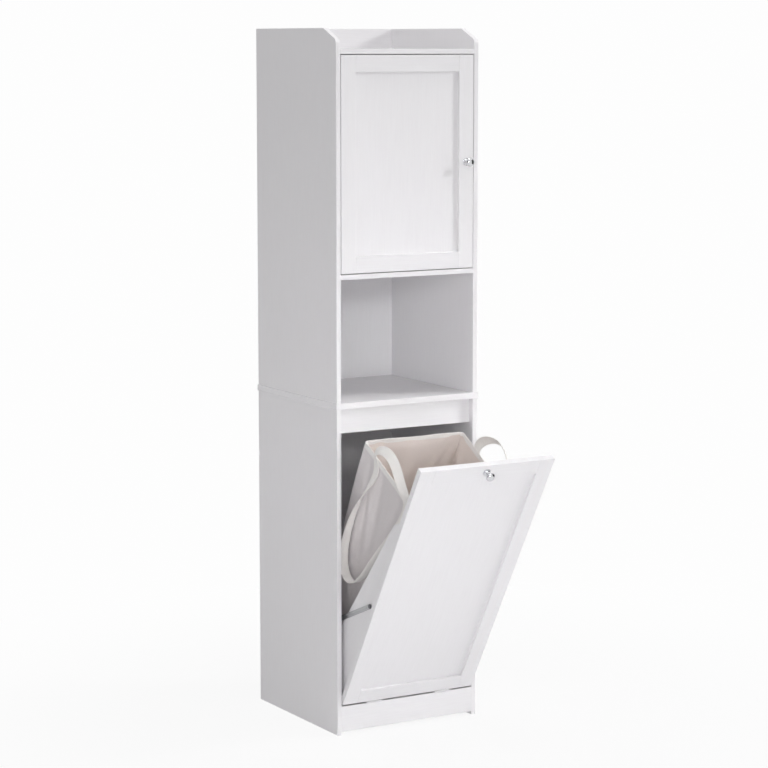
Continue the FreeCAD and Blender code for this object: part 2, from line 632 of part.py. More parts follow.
def turned(point, angle):
    """A point swung about the tilt hinge line."""
    return FreeCAD.Rotation(X, angle).multVec(point - AXIS) + AXIS


def stays(holes, tilt):
    """Slotted bars pivoted on the cheeks, sliding on fixed pins that stand on the pivot's own circle.

    With both pins on one circle about the hinge line, a bar turns by half the door's angle.
    """
    shut = Vector(0, PIVOT_BACK, AXIS_Z + PIVOT_HEIGHT)
    out = turned(shut, TILT)
    guide = turned(out, -STAY_SPAN)
    short, long = (guide - shut).Length, (guide - out).Length
    lean = math.degrees(math.atan2(guide.z - out.z, guide.y - out.y))
    inner = CHEEK_OUT + STAY_ROOM
    outer = inner + STAY_THICK
    bars, screws, guides = {}, [], []
    for side, sign in SIDES.items():
        bar = stay_bar(sign, inner, outer, short, long)
        bar.rotate(Vector(), X, lean)
        bar.translate(out)
        bars[f"{side}_stay"] = bar
        reach = [Vector(sign * x, shut.y, shut.z) for x in (CHEEK_OUT - SCREW_LENGTH, outer + FIT)]
        collar = reach[1] + X * sign * STAY_HEAD_THICK
        head = rod(STAY_HEAD, reach[1], collar)
        rim = [e for e in head.Edges if abs(e.BoundBox.Center.x - collar.x) < FIT and e.Length > STAY_HEAD]
        screws.append(rod(STAY_PIN, *reach).fuse(head.makeFillet(STAY_HEAD_THICK * 0.6, rim)))
        bore = rod(STAY_PIN + FIT, *reach)
        name = f"hamper_{side}_cheek"
        tilt[name] = tilt[name].cut(bore)
        at = [Vector(sign * x, guide.y, guide.z) for x in
              (inner - STAY_ROOM - STAY_THICK, inner - STAY_ROOM, outer + STAY_ROOM, INNER, INNER + DOWEL_IN_SIDE)]
        guides.append(rod(STAY_PIN, at[0], at[4]).multiFuse(
            [rod(STAY_PIN * 2, at[0], at[1]), rod(STAY_PIN * 2, at[2], at[3])]).removeSplitter())
        drill(holes, (f"{side}_side_lower",), rod(STAY_PIN + FIT, at[3], at[4]))
    tilt["stay_pivot_screws"] = group(screws)
    return bars, {"stay_guide_pins": group(guides)}


def stay_bar(sign, inner, outer, short, long):
    """A flat bar lying along +y from its pivot: round ends, pivot hole, slot and a pressed bead."""
    x = ordered(sign * inner, sign * outer)
    half = STAY_WIDTH / 2
    end = long + STAY_TAIL
    low, high = Vector(x[0], 0, 0), Vector(x[1], 0, 0)

    def stadium(radius, start, stop):
        body = box(x, (start, stop), (-radius, radius))
        caps = [rod(radius, low + Y * y, high + Y * y) for y in (start, stop)]
        return body.multiFuse(caps).removeSplitter()

    bar = stadium(half, 0, end - half + STAY_PIN)
    bar = bar.cut([rod(STAY_PIN + STAY_FIT, low, high), stadium(STAY_PIN + STAY_FIT, short, long)])
    crest = ordered(sign * outer, sign * (outer + BEAD_HEIGHT))
    bead = box(crest, (STAY_WIDTH * 1.5, short - STAY_WIDTH * 1.5), (-BEAD_WIDTH / 2, BEAD_WIDTH / 2))
    top = [e for e in bead.Edges if abs(abs(e.BoundBox.Center.x) - outer - BEAD_HEIGHT) < FIT]
    return bar.fuse(bead.makeChamfer(BEAD_HEIGHT * 0.6, top)).removeSplitter()


def laundry_bag():
    """An open fabric bag with rounded corners, a back that slopes in and a hemmed rim, on the tray."""
    half = BAG_WIDTH / 2
    low = TRAY_TOP + SOFT_GAP
    slope = (BAG_DEPTH - BAG_FOOT) / BAG_HEIGHT

    def block(grow, bottom, top):
        front = BAG_FRONT - grow
        backs = [BAG_FRONT + BAG_FOOT + slope * (z - low) + grow for z in (bottom, top)]
        body = plate([(front, bottom), (backs[0], bottom), (backs[1], top), (front, top)],
                     (-half - grow, half + grow))
        upright = [e for e in body.Edges if e.BoundBox.ZLength > HEM_HEIGHT / 2]
        return body.makeFillet(BAG_ROUND + grow, upright)

    shell = block(0, low, BAG_RIM).fuse(block(HEM_PROUD, BAG_RIM - HEM_HEIGHT, BAG_RIM))
    return shell.cut(block(-BAG_WALL, low + BAG_WALL, BAG_RIM + 1)).removeSplitter()


def strap(sign):
    """One loop of webbing on the bag's side: a handle arch over the rim and a long bight below it."""
    def on_course(share, level):
        height = level * (STRAP_RISE if level > 0 else STRAP_DROP)
        return Vector(STRAP_FRONT + share * (STRAP_BACK - STRAP_FRONT), BAG_RIM + height, 0)

    course = [on_course(share, level) for share, level in STRAP_COURSE]
    line = Part.BSplineCurve()
    line.interpolate(Points=course, PeriodicFlag=True)
    wire = Part.Wire([arc.toShape() for arc in line.toBiArcs(STRAP_THICK / 4)])
    ring = Part.Face(wire.makeOffset2D(STRAP_THICK / 2)).cut(Part.Face(wire.makeOffset2D(-STRAP_THICK / 2)))
    body = ring.Faces[0].extrude(Z * STRAP_WIDTH)
    body.Placement = FreeCAD.Placement(Vector(), FreeCAD.Rotation(Y, Z, X, "ZXY"))
    near = BAG_WIDTH / 2 + HEM_PROUD + SOFT_GAP
    body.translate(X * (near if sign > 0 else -near - STRAP_WIDTH))
    return body


def hamper(holes):
    """The tilt door and all that rides on it, built shut and swung out; its stays; the case's share."""
    tilt = framed_door("hamper", ("left_stile", "right_stile"), TILT_LOW, TILT_HIGH)
    add_knob(tilt, "hamper", "hamper_top_rail", 0, KNOB_HEIGHT)
    case = tilt_hinges(holes, tilt)
    cheeks_and_tray(tilt)
    bars, guides = stays(holes, tilt)
    case.update(guides)
    tilt["laundry_bag"] = laundry_bag()
    for side, sign in SIDES.items():
        tilt[f"{side}_strap"] = strap(sign)
    for shape in tilt.values():
        shape.rotate(AXIS, X, TILT)
    return {**tilt, **bars}, case


def main():
    panels = case_panels()
    holes, nodes = join_case(panels)
    nodes.update(shelf_and_pins(holes))
    door, door_fittings = upper_door(holes)
    tilt, tilt_fittings = hamper(holes)
    for name, panel in panels.items():
        nodes[name] = panel.cut(holes[name]) if holes[name] else panel
    for part in (door, door_fittings, tilt, tilt_fittings):
        nodes.update(part)
    os.makedirs("parts", exist_ok=True)
    for name, shape in nodes.items():
        shape.translate(SHIFT)
        solids = len(shape.Solids)
        print(f"{name}: {solids} solids, {shape.Volume:.0f} mm3, valid {shape.isValid()}")
        shape.exportStep(f"parts/{name}.step")


main()
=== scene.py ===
import json
import math

import bmesh
import bpy
import numpy as np
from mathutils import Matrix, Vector


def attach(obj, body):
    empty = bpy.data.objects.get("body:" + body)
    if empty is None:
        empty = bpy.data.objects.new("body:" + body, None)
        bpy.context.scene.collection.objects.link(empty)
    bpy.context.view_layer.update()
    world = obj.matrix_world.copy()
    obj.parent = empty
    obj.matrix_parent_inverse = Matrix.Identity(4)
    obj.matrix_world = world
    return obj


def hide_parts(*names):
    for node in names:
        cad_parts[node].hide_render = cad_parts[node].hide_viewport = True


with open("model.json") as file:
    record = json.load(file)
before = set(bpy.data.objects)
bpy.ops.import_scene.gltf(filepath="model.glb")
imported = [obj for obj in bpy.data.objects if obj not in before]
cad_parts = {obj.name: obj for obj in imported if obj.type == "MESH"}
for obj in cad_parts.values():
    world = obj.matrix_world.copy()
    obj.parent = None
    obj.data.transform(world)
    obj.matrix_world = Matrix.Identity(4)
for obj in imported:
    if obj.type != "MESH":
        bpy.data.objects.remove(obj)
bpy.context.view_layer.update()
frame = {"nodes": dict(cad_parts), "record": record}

MM = 0.001
FULL_TURN = 2 * np.pi

# The tilt-out bin as it stands shut, in millimetres: depth from the case's front, height from the floor
TILT = math.radians(30)
HINGE = np.array([-2.4, 71.7])
DEPTH_SHIFT = -13.5059    # depth of the case's front in the frame

BAG_HALF = 139.0
BAG_FRONT, BAG_BACK = 17.0, 300.0
BAG_BACK_LOW = 242.0      # the back at the foot
BAG_FOOT, BAG_RIM = 172.0, 651.0
BAG_AROUND = 2 * (2 * BAG_HALF + BAG_BACK - BAG_FRONT) * MM
CLOTH_THICK = 1.4
HEM = 14.0

STRAP_WIDTH, STRAP_THICK = 24.0, 1.6
STRAP_NEAR = 140.1        # a strap's near edge, from the bag's middle
STRAP_RISE, STRAP_DROP = 59.0, 327.0
STRAP_FRONT, STRAP_BACK = 66.0, 237.0
# Where the straps are sewn to the bag's sides, as shares of the depth from its back
STRAP_ROOTS = (0.29, 0.82)

STITCH_LONG, STITCH_WIDE, STITCH_HIGH = 3.0, 0.8, 0.7
STRAP_STITCH_PITCH, HEM_STITCH_PITCH = 4.6, 4.0


def tilted_out(x, depth, height):
    """Turns points of the shut bin by the tilt about its hinge line and returns them in metres."""
    y, z = depth - HINGE[0], height - HINGE[1]
    out = np.empty(np.broadcast(x, y, z).shape + (3,))
    out[..., 0] = x
    out[..., 1] = HINGE[0] + y * math.cos(TILT) - z * math.sin(TILT) + DEPTH_SHIFT
    out[..., 2] = HINGE[1] + y * math.sin(TILT) + z * math.cos(TILT)
    return out * MM


def flattened(wave, power):
    """A wave drawn towards a square one: its size to a power below 1, with its own sign."""
    return np.sign(wave) * np.abs(wave) ** power


def grid_quads(rows, cols, wrap_rows, wrap_cols):
    """Corner numbers of the quads of a grid that may close on itself either way, as lists."""
    r = np.arange(rows if wrap_rows else rows - 1)
    c = np.arange(cols if wrap_cols else cols - 1)
    r, c = np.meshgrid(r, c, indexing="ij")
    r1, c1 = (r + 1) % rows, (c + 1) % cols
    return np.stack([r * cols + c, r * cols + c1, r1 * cols + c1, r1 * cols + c], -1).reshape(-1, 4).tolist()


def cloth_map(mesh, uv):
    """Stores one (along, across) pair in metres per vertex as the mesh's UV map."""
    corners = np.empty(len(mesh.loops), dtype=np.int32)
    mesh.loops.foreach_get("vertex_index", corners)
    layer = mesh.uv_layers.new(name="cloth")
    layer.data.foreach_set("uv", uv[corners].astype(np.float32).ravel())


def piece(name, points, faces, materials, body, uv=None):
    """Makes an object of the given corners and faces at the origin, smooth, and rides it on a body."""
    mesh = bpy.data.meshes.new(name)
    mesh.from_pydata(points.reshape(-1, 3).tolist(), [], faces)
    if uv is not None:
        cloth_map(mesh, uv.reshape(-1, 2))
    shell = bmesh.new()
    shell.from_mesh(mesh)
    bmesh.ops.recalc_face_normals(shell, faces=shell.faces)
    shell.to_mesh(mesh)
    shell.free()
    mesh.shade_smooth()
    obj = bpy.data.objects.new(name, mesh)
    bpy.context.collection.objects.link(obj)
    for material in materials:
        mesh.materials.append(material)
    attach(obj, body)
    return obj


# Finishes

FOIL_GRAIN_ALONG, FOIL_GRAIN_ACROSS = 14.0, 420.0    # grains per metre
WAVE_PERIOD = 0.314                                  # of the wave texture at scale 1, in metres


def finish(name, colour, roughness, metallic=0.0, **sockets):
    """A principled finish with its constants on the shader's own sockets; returns it with its node tree."""
    material = bpy.data.materials.new(name)
    material.use_nodes = True
    shader = material.node_tree.nodes["Principled BSDF"]
    shader.inputs["Base Color"].default_value = (*colour, 1.0)
    shader.inputs["Roughness"].default_value = roughness
    shader.inputs["Metallic"].default_value = metallic
    for socket, value in sockets.items():
        shader.inputs[socket.replace("_", " ")].default_value = value
    return material, material.node_tree, shader


def add(tree, kind, **values):
    """Adds a node and sets the sockets or, where there is no such socket, the settings that are named."""
    node = tree.nodes.new(kind)
    for name, value in values.items():
        if name in node.inputs:
            node.inputs[name].default_value = value
        else:
            setattr(node, name, value)
    return node


def tinted(tree, shader, factor, low, high, ends=(0.0, 1.0)):
    """Colours the surface between two shades as a factor goes from one end to the other."""
    ramp = add(tree, "ShaderNodeValToRGB")
    for stop, colour, place in zip(ramp.color_ramp.elements, (low, high), ends):
        stop.color = (*colour, 1.0)
        stop.position = place
    tree.links.new(factor, ramp.inputs["Fac"])
    tree.links.new(ramp.outputs["Color"], shader.inputs["Base Color"])


def bumped(tree, shader, height, distance, strength):
    """Gives the surface a relief: a 0 to 1 height times a distance in metres."""
    bump = add(tree, "ShaderNodeBump", Strength=strength, Distance=distance)
    tree.links.new(height, bump.inputs["Height"])
    tree.links.new(bump.outputs["Normal"], shader.inputs["Normal"])


def noise_on(tree, coordinates, **settings):
    """A noise over the given coordinates; returns its 0 to 1 value."""
    noise = add(tree, "ShaderNodeTexNoise", **settings)
    tree.links.new(coordinates, noise.inputs["Vector"])
    return noise.outputs["Fac"]


def on_object(tree):
    """Places on the piece itself, in metres."""
    return add(tree, "ShaderNodeTexCoord").outputs["Object"]


def white_foil(name, along, tilt=0.0, roughness=0.42):
    """White foil on board: a fine pressed grain drawn out along one axis, a little tone and a little relief."""
    material, tree, shader = finish(name, (0.88, 0.872, 0.886), roughness, Specular_IOR_Level=0.42)
    turn = add(tree, "ShaderNodeMapping")
    turn.inputs["Rotation"].default_value = (-tilt, 0, 0)
    stretch = add(tree, "ShaderNodeVectorMath", operation="MULTIPLY")
    stretch.inputs[1].default_value = [FOIL_GRAIN_ALONG if axis == along else FOIL_GRAIN_ACROSS for axis in "xyz"]
    tree.links.new(on_object(tree), turn.inputs["Vector"])
    tree.links.new(turn.outputs["Vector"], stretch.inputs[0])
    grain = noise_on(tree, stretch.outputs["Vector"], Scale=1.0, Detail=4.0, Roughness=0.6)
    tinted(tree, shader, grain, (0.868, 0.857, 0.871), (0.891, 0.882, 0.895), (0.32, 0.66))
    bumped(tree, shader, grain, 0.00008, 0.25)
    return material


def plated(name, colour, roughness, streak):
    """Bright metal with fine streaks in its polish: the roughness varies by the streak's share either way."""
    material, tree, shader = finish(name, colour, roughness, 1.0)
    noise = noise_on(tree, on_object(tree), Scale=900.0, Detail=3.0)
    spread = add(tree, "ShaderNodeMapRange")
    spread.inputs["To Min"].default_value = roughness * (1 - streak)
    spread.inputs["To Max"].default_value = roughness * (1 + streak)
    tree.links.new(noise, spread.inputs["Value"])
    tree.links.new(spread.outputs["Result"], shader.inputs["Roughness"])
    bumped(tree, shader, noise, 0.00003, 0.2)
    return material


def enamel(name, colour, roughness):
    """Smooth stoved paint with a slight orange-peel."""
    material, tree, shader = finish(name, colour, roughness, Coat_Weight=0.3, Coat_Roughness=0.15)
    peel = noise_on(tree, on_object(tree), Scale=650.0, Detail=2.0)
    tinted(tree, shader, peel, [c * 0.97 for c in colour], colour)
    bumped(tree, shader, peel, 0.00005, 0.3)
    return material


def woven(name, dark, light, pitch, rib=1.0, sheen=0.25, relief=0.00025):
    """Plain weave on the piece's own cloth map: crossing waves a thread pitch apart, with uneven yarn tone."""
    material, tree, shader = finish(name, light, 0.85, Sheen_Weight=sheen, Sheen_Roughness=0.5)
    cloth = add(tree, "ShaderNodeUVMap", uv_map="cloth").outputs["UV"]
    cross = add(tree, "ShaderNodeMath", operation="MULTIPLY")
    for number, (direction, scale) in enumerate((("X", 1.0), ("Y", rib))):
        wave = add(tree, "ShaderNodeTexWave", wave_type="BANDS", bands_direction=direction,
                   Scale=scale * WAVE_PERIOD / pitch, Distortion=0.6, Detail=1.0)
        tree.links.new(cloth, wave.inputs["Vector"])
        tree.links.new(wave.outputs["Fac"], cross.inputs[number])
    yarn = noise_on(tree, cloth, Scale=420.0, Detail=5.0, Roughness=0.7)
    blend = add(tree, "ShaderNodeMath", operation="MULTIPLY_ADD")
    blend.inputs[1].default_value = 0.3
    tree.links.new(cross.outputs["Value"], blend.inputs[0])
    tree.links.new(yarn, blend.inputs[2])
    tinted(tree, shader, blend.outputs["Value"], dark, light, (0.3, 0.85))
    bumped(tree, shader, cross.outputs["Value"], relief, 0.5)
    return material


def spun(name, dark, light):
    """Dull spun thread: a fine uneven tone and relief at the scale of its fibres."""
    material, tree, shader = finish(name, light, 0.8, Sheen_Weight=0.2)
    fibre = noise_on(tree, on_object(tree), Scale=1800.0, Detail=3.0)
    tinted(tree, shader, fibre, dark, light)
    bumped(tree, shader, fibre, 0.0001, 0.4)
    return material


UPRIGHT = white_foil("white_foil_upright", "z")
ACROSS = white_foil("white_foil_across", "x", roughness=0.27)
BIN_UPRIGHT = white_foil("white_foil_bin_upright", "z", TILT)
BIN_ACROSS = white_foil("white_foil_bin_across", "x", TILT)
CHROME = plated("polished_chrome", (0.66, 0.66, 0.68), 0.06, 0.3)
ZINC = plated("bright_zinc", (0.40, 0.40, 0.415), 0.36, 0.35)
DARK_ZINC = plated("screw_zinc", (0.13, 0.13, 0.14), 0.3, 0.35)
WHITE_ENAMEL = enamel("white_enamel", (0.80, 0.79, 0.81), 0.35)
CATCH_WHITE = enamel("catch_white", (0.78, 0.78, 0.78), 0.5)
BEECH = enamel("pale_beech", (0.62, 0.46, 0.28), 0.6)
# The bag is one off-white cloth given two tints, both darker than the hem: the greyer, lilac tint of the outside face
# is painted shade, and the warmer, beige tint of the inside face is painted bounced light.
BAG_OUTSIDE_PAINTED_SHADE = woven("bag_cloth_outside_painted_shade", (0.74, 0.70, 0.705), (0.84, 0.80, 0.805), 0.0011)
BAG_INSIDE_PAINTED_BOUNCE = woven("bag_cloth_inside_painted_bounce", (0.835, 0.757, 0.712), (0.893, 0.821, 0.777), 0.0011)
HEM_CLOTH = woven("bag_hem_cloth", (0.92, 0.90, 0.875), (0.97, 0.955, 0.94), 0.0011)
WEBBING = woven("strap_webbing", (0.92, 0.895, 0.862), (0.97, 0.955, 0.932), 0.0016, 0.5, 0.3, 0.0004)
THREAD = spun("sewing_thread", (0.70, 0.66, 0.61), (0.86, 0.83, 0.79))

BY_SLOT = {
    "chrome": CHROME,
    "zinc": ZINC,
    "white_metal": WHITE_ENAMEL,
    "white_plastic": CATCH_WHITE,
    "beech": BEECH,
    "white_back": UPRIGHT,
}
LEVEL_BOARDS = ("top_panel", "fixed_shelf", "middle_board", "bottom_panel", "adjustable_shelf", "gallery_rail",
                "apron_rail", "base_rail", "door_top_rail", "door_bottom_rail")
LEVEL_BIN_BOARDS = ("hamper_top_rail", "hamper_bottom_rail", "hamper_tray")


def dress_solids():
    """Gives every carried-over solid the finish of its slot, with the grain along its length."""
    for part in frame["record"]["subparts"]:
        node, slot = part["node"], part["material_slot"]
        material = BY_SLOT.get(slot)
        if material is None:
            if node in LEVEL_BIN_BOARDS:
                material = BIN_ACROSS
            elif node.startswith("hamper_"):
                material = BIN_UPRIGHT
            else:
                material = ACROSS if node in LEVEL_BOARDS else UPRIGHT
        if node == "stay_pivot_screws":
            material = DARK_ZINC
        for holder in frame["nodes"][node].material_slots:
            holder.material = material


# The stitches

STITCH_RINGS, STITCH_SPOKES = 3, 6


def sew(name, centre, ahead, out, sign):
    """Rows of stitches: each a small flattened ellipsoid, long ahead and half sunk in the cloth, as one piece."""
    tip = np.arange(1, STITCH_RINGS + 1) / (STITCH_RINGS + 1) * np.pi
    turn = np.arange(STITCH_SPOKES) / STITCH_SPOKES * FULL_TURN
    belt = np.stack(np.broadcast_arrays(
        np.cos(tip)[:, None], np.sin(tip)[:, None] * np.cos(turn), np.sin(tip)[:, None] * np.sin(turn)
    ), -1).reshape(-1, 3)
    ball = np.vstack([belt, [(1, 0, 0), (-1, 0, 0)]]) * (STITCH_LONG / 2, STITCH_WIDE / 2, STITCH_HIGH / 2)
    axes = np.stack([ahead, np.cross(out, ahead), out], 1)
    local = centre[:, None] + ball @ axes
    points = tilted_out(sign * local[..., 0], local[..., 1], local[..., 2])
    size = len(ball)
    spoke = np.arange(STITCH_SPOKES)
    beside = (spoke + 1) % STITCH_SPOKES
    last_ring = (STITCH_RINGS - 1) * STITCH_SPOKES
    first = np.stack([spoke, beside, np.full(STITCH_SPOKES, size - 2)], -1)
    last = np.stack([spoke + last_ring, beside + last_ring, np.full(STITCH_SPOKES, size - 1)], -1)
    start = np.arange(len(centre))[:, None, None] * size
    belts = (start + np.array(grid_quads(STITCH_RINGS, STITCH_SPOKES, False, True))).reshape(-1, 4).tolist()
    caps = (start + np.vstack([first, last])).reshape(-1, 3).tolist()
    piece(name, points, belts + caps, [THREAD], "hamper")


# The cloth bag

RING_POINTS, WALL_ROWS, FOOT_ROWS = 288, 96, 10
CORNER, CORNER_LOW = 8.0, 12.0    # radius at the rim and at the foot
WALL_TOP = BAG_RIM - 2.5          # inside the hem
BACK_BOW = 1.75                   # 1 would be a straight back
FOOT_CLOTH = 0.14                 # from the foot's edge to its middle, in metres
FOOT_INNER = 0.04                 # innermost ring of the foot, as a share of its size
SAGS = (5.0, 9.0, 11.0, 10.0)     # of the front, right, back and left wall
RIPPLE = 1.6
WALL_TALL = 1.6                   # height over width of a wall
CREASE_START = 0.12               # how far a crease is already open at its first place
RIM_BOW = 1.3
BOW_FROM = 0.75                   # share of the height where the rim's bow begins
RIM_FADE = 0.06                   # share of the height below the rim where the cloth is held
HELD_LEVEL = 0.92                 # middle of a strap's root, as a share of the height
HELD_WIDE, HELD_TALL = 0.10, 0.13    # shares over which a root holds the cloth

# Creases as (side, share, rise, share, rise, width, depth): from one place on a wall to another, where the sides are
# 0 front, 1 right, 2 back and 3 left
CREASES = (
    (2, 0.03, 0.99, 0.20, 0.55, 0.045, 7.0),
    (2, 0.10, 0.98, 0.34, 0.70, 0.035, 5.0),
    (1, 0.97, 0.97, 0.80, 0.60, 0.050, 7.5),
    (1, 0.92, 0.80, 0.60, 0.48, 0.045, 5.0),
    (1, 0.62, 0.96, 0.48, 0.30, 0.060, 5.5),
    (1, 0.25, 0.97, 0.38, 0.45, 0.060, 4.5),
    (2, 0.55, 0.95, 0.60, 0.30, 0.080, 4.0),
    (2, 0.84, 0.97, 0.70, 0.52, 0.050, 6.0),
    (3, 0.17, 0.94, 0.28, 0.50, 0.045, 4.0),
    (3, 0.35, 0.97, 0.44, 0.40, 0.060, 6.0),
    (3, 0.72, 0.97, 0.60, 0.55, 0.060, 6.0),
    (3, 0.66, 0.60, 0.30, 0.22, 0.055, 7.0),
    (3, 0.90, 0.55, 0.55, 0.12, 0.060, 6.0),
    (0, 0.30, 0.95, 0.40, 0.40, 0.070, 4.0),
    (0, 0.74, 0.95, 0.62, 0.35, 0.070, 4.0),
)


def rounded_ring(count, half, front, back, radius):
    """Points round a rounded rectangle, with outward normals, the side and its share, and the share of the way round.

    The ring starts in the middle of the front and runs to the right. The points are even on the sharp rectangle, and
    those near a corner are drawn to its arc; the radius may differ from row to row.
    """
    width, depth = 2 * half, back - front
    length = 2 * (width + depth)
    way = np.arange(count) / count * length
    x = np.empty(count)
    y = np.empty(count)
    side = np.empty(count, dtype=int)
    share = np.empty(count)
    stops = np.cumsum([half, depth, width, depth, half])
    part = np.searchsorted(stops, way, side="right")
    into = way - np.concatenate([[0], stops])[part]
    for number, (sx, sy, dx, dy, first) in enumerate((
        (0, front, 1, 0, 0.5), (half, front, 0, 1, 0.0), (half, back, -1, 0, 0.0),
        (-half, back, 0, -1, 0.0), (-half, front, 1, 0, 0.0),
    )):
        here = part == number
        x[here] = sx + dx * into[here]
        y[here] = sy + dy * into[here]
        side[here] = number % 4
        share[here] = first + into[here] / (depth if number in (1, 3) else width)
    radius = np.broadcast_to(np.asarray(radius, dtype=float)[..., None], np.shape(radius) + (count,))
    cx = np.clip(x, -(half - radius), half - radius)
    cy = np.clip(y, front + radius, back - radius)
    nx, ny = x - cx, y - cy
    size = np.hypot(nx, ny)
    nx, ny = nx / size, ny / size
    return cx + nx * radius, cy + ny * radius, nx, ny, side, share, way / length


def slackness(side, share, rise):
    """How far the cloth hangs inwards, in millimetres: a broad sag in each wall and soft valleys along the creases.

    The sag is a half sine across the wall and up it, each to a power, with a slanting ripple. A crease is a bell curve
    over the distance from its line. All of it fades out at the rim, and round the places where straps are sewn on.
    """
    belly = np.sin(np.pi * np.clip(share, 0, 1)) ** 1.3
    height = np.sin(np.pi * np.clip(rise, 0, 1)) ** 0.8
    ripple = RIPPLE * (1 + np.sin(FULL_TURN * (3 * share + 1.3 * rise) + side * 1.7))
    sag = belly * height * (np.choose(side, SAGS) + ripple)
    for wall, s0, r0, s1, r1, width, depth in CREASES:
        ds, dr = s1 - s0, r1 - r0
        along = np.clip(((share - s0) * ds + (rise - r0) * dr) / (ds * ds + dr * dr), 0, 1)
        gap = np.hypot(share - s0 - along * ds, (rise - r0 - along * dr) * WALL_TALL)
        fade = np.sin(np.pi * (CREASE_START + (1 - CREASE_START) * along)) ** 0.5
        sag = sag + np.where(side == wall, depth * fade * np.exp(-((gap / width) ** 2)), 0.0)
    from_back = np.where(side == 3, share, 1 - share)
    for root in STRAP_ROOTS:
        held = np.exp(-(((from_back - root) / HELD_WIDE) ** 2) - ((rise - HELD_LEVEL) / HELD_TALL) ** 2)
        sag = np.where(side % 2 == 1, sag * (1 - held), sag)
    near_rim = np.clip((1 - rise) / RIM_FADE, 0, 1)
    return sag * near_rim * near_rim * (3 - 2 * near_rim)


def rim_bow(share):
    """How far each wall is drawn in along the rim, in millimetres: most in its middle, nothing at the corners."""
    return RIM_BOW * np.sin(np.pi * np.clip(share, 0, 1)) ** 2


def make_bag():
    """The bag's wall as rows of soft rounded rectangles from foot to rim, its foot drawn in to one point.

    The back leans out from foot to rim in a slight bow.
    """
    rise = np.linspace(0, 1, WALL_ROWS) ** 0.9
    radius = CORNER + (CORNER_LOW - CORNER) * (1 - rise) ** 2
    x, y, nx, ny, side, share, round_share = rounded_ring(RING_POINTS, BAG_HALF, BAG_FRONT, BAG_BACK, radius)
    side, share = np.broadcast_to(side, x.shape), np.broadcast_to(share, x.shape)
    bowed = np.clip((rise[:, None] - BOW_FROM) / (1 - BOW_FROM), 0, 1)
    sag = slackness(side, share, rise[:, None]) + rim_bow(share) * bowed
    x, y = x - nx * sag, y - ny * sag
    deep = BAG_BACK - (BAG_BACK - BAG_BACK_LOW) * (1 - rise[:, None]) ** BACK_BOW - BAG_FRONT
    y = BAG_FRONT + (y - BAG_FRONT) * deep / (BAG_BACK - BAG_FRONT)
    high = BAG_FOOT + rise[:, None] * (WALL_TOP - BAG_FOOT) + 0 * x
    lift = np.linspace(FOOT_INNER, 1, FOOT_ROWS, endpoint=False)[:, None]
    middle = (BAG_FRONT + BAG_BACK_LOW) / 2
    foot_x, foot_y = x[:1] * lift, middle + (y[:1] - middle) * lift
    x, y = np.vstack([foot_x, x]), np.vstack([foot_y, y])
    high = np.vstack([BAG_FOOT + 0 * foot_x, high])
    points = tilted_out(x, y, high)
    along = np.concatenate([-(1 - lift[:, 0]) * FOOT_CLOTH, rise * (BAG_RIM - BAG_FOOT) * MM])
    uv = np.stack(np.broadcast_arrays(round_share[None, :] * BAG_AROUND, along[:, None]), -1)
    quads = grid_quads(WALL_ROWS + FOOT_ROWS, RING_POINTS, False, True)
    hub = tilted_out(np.zeros(1), np.full(1, middle), np.full(1, BAG_FOOT))
    points = np.vstack([points.reshape(-1, 3), hub])
    uv = np.vstack([uv.reshape(-1, 2), [[BAG_AROUND / 2, -FOOT_CLOTH]]])
    ring = np.arange(RING_POINTS)
    fan = np.stack([np.full(RING_POINTS, len(points) - 1), (ring + 1) % RING_POINTS, ring], -1).tolist()
    bag = piece("cloth_bag", points, quads + fan, [BAG_OUTSIDE_PAINTED_SHADE, BAG_INSIDE_PAINTED_BOUNCE], "hamper", uv)
    wall = bag.modifiers.new("cloth_thickness", "SOLIDIFY")
    wall.thickness = CLOTH_THICK * MM
    wall.offset = -1
    wall.material_offset = 1
    wall.use_even_offset = False
    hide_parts("laundry_bag")


# The hem

HEM_HALF_THICK = 1.1
HEM_IN = 0.8              # the hem's middle inside the bag's outline
HEM_RING = BAG_HALF - HEM_IN, BAG_FRONT + HEM_IN, BAG_BACK - HEM_IN, np.array([CORNER])
HEM_SECTION = 20
HEM_DIP, HEM_DIPS = 0.5, 9
HEM_SEAM = 2.6            # stitches above the lower edge
HEM_STITCH_OUT = 1.06     # stitches from the hem's middle, half sunk in its face


def hem_dip(way):
    """How far the hem hangs below its level at a share of the way round: a few shallow waves."""
    return HEM_DIP * (1 - np.cos(FULL_TURN * way * HEM_DIPS))


def make_hem():
    """The turned hem as a flat rounded section carried round the rim, with a stitch row near its lower edge."""
    turn = np.arange(HEM_SECTION) / HEM_SECTION * FULL_TURN
    thick = HEM_HALF_THICK * flattened(np.cos(turn), 0.5)
    tall = HEM / 2 * flattened(np.sin(turn), 0.35)
    x, y, nx, ny, _, share, way = rounded_ring(RING_POINTS, *HEM_RING)
    x, y, nx, ny = x[0][:, None], y[0][:, None], nx[0][:, None], ny[0][:, None]
    bow = rim_bow(share)[:, None]
    high = BAG_RIM - HEM / 2 - hem_dip(way)[:, None] + tall
    points = tilted_out(x + nx * (thick - bow), y + ny * (thick - bow), high)
    uv = np.stack(np.broadcast_arrays(way[:, None] * BAG_AROUND, (tall * MM)[None, :]), -1)
    quads = grid_quads(RING_POINTS, HEM_SECTION, True, True)
    piece("bag_hem", points, quads, [HEM_CLOTH], "hamper", uv)
    x, y, nx, ny, _, share, way = rounded_ring(round(BAG_AROUND / (HEM_STITCH_PITCH * MM)), *HEM_RING)
    out = np.stack([nx[0], ny[0], 0 * way], -1)
    ahead = np.stack([-ny[0], nx[0], 0 * way], -1)
    line = np.stack([x[0], y[0], BAG_RIM - HEM + HEM_SEAM - hem_dip(way)], -1) - out * rim_bow(share)[:, None]
    both = np.vstack([line + out * HEM_STITCH_OUT, line - out * HEM_STITCH_OUT])
    sew("hem_stitches", both, np.tile(ahead, (2, 1)), np.vstack([out, -out]), 1)


# The straps

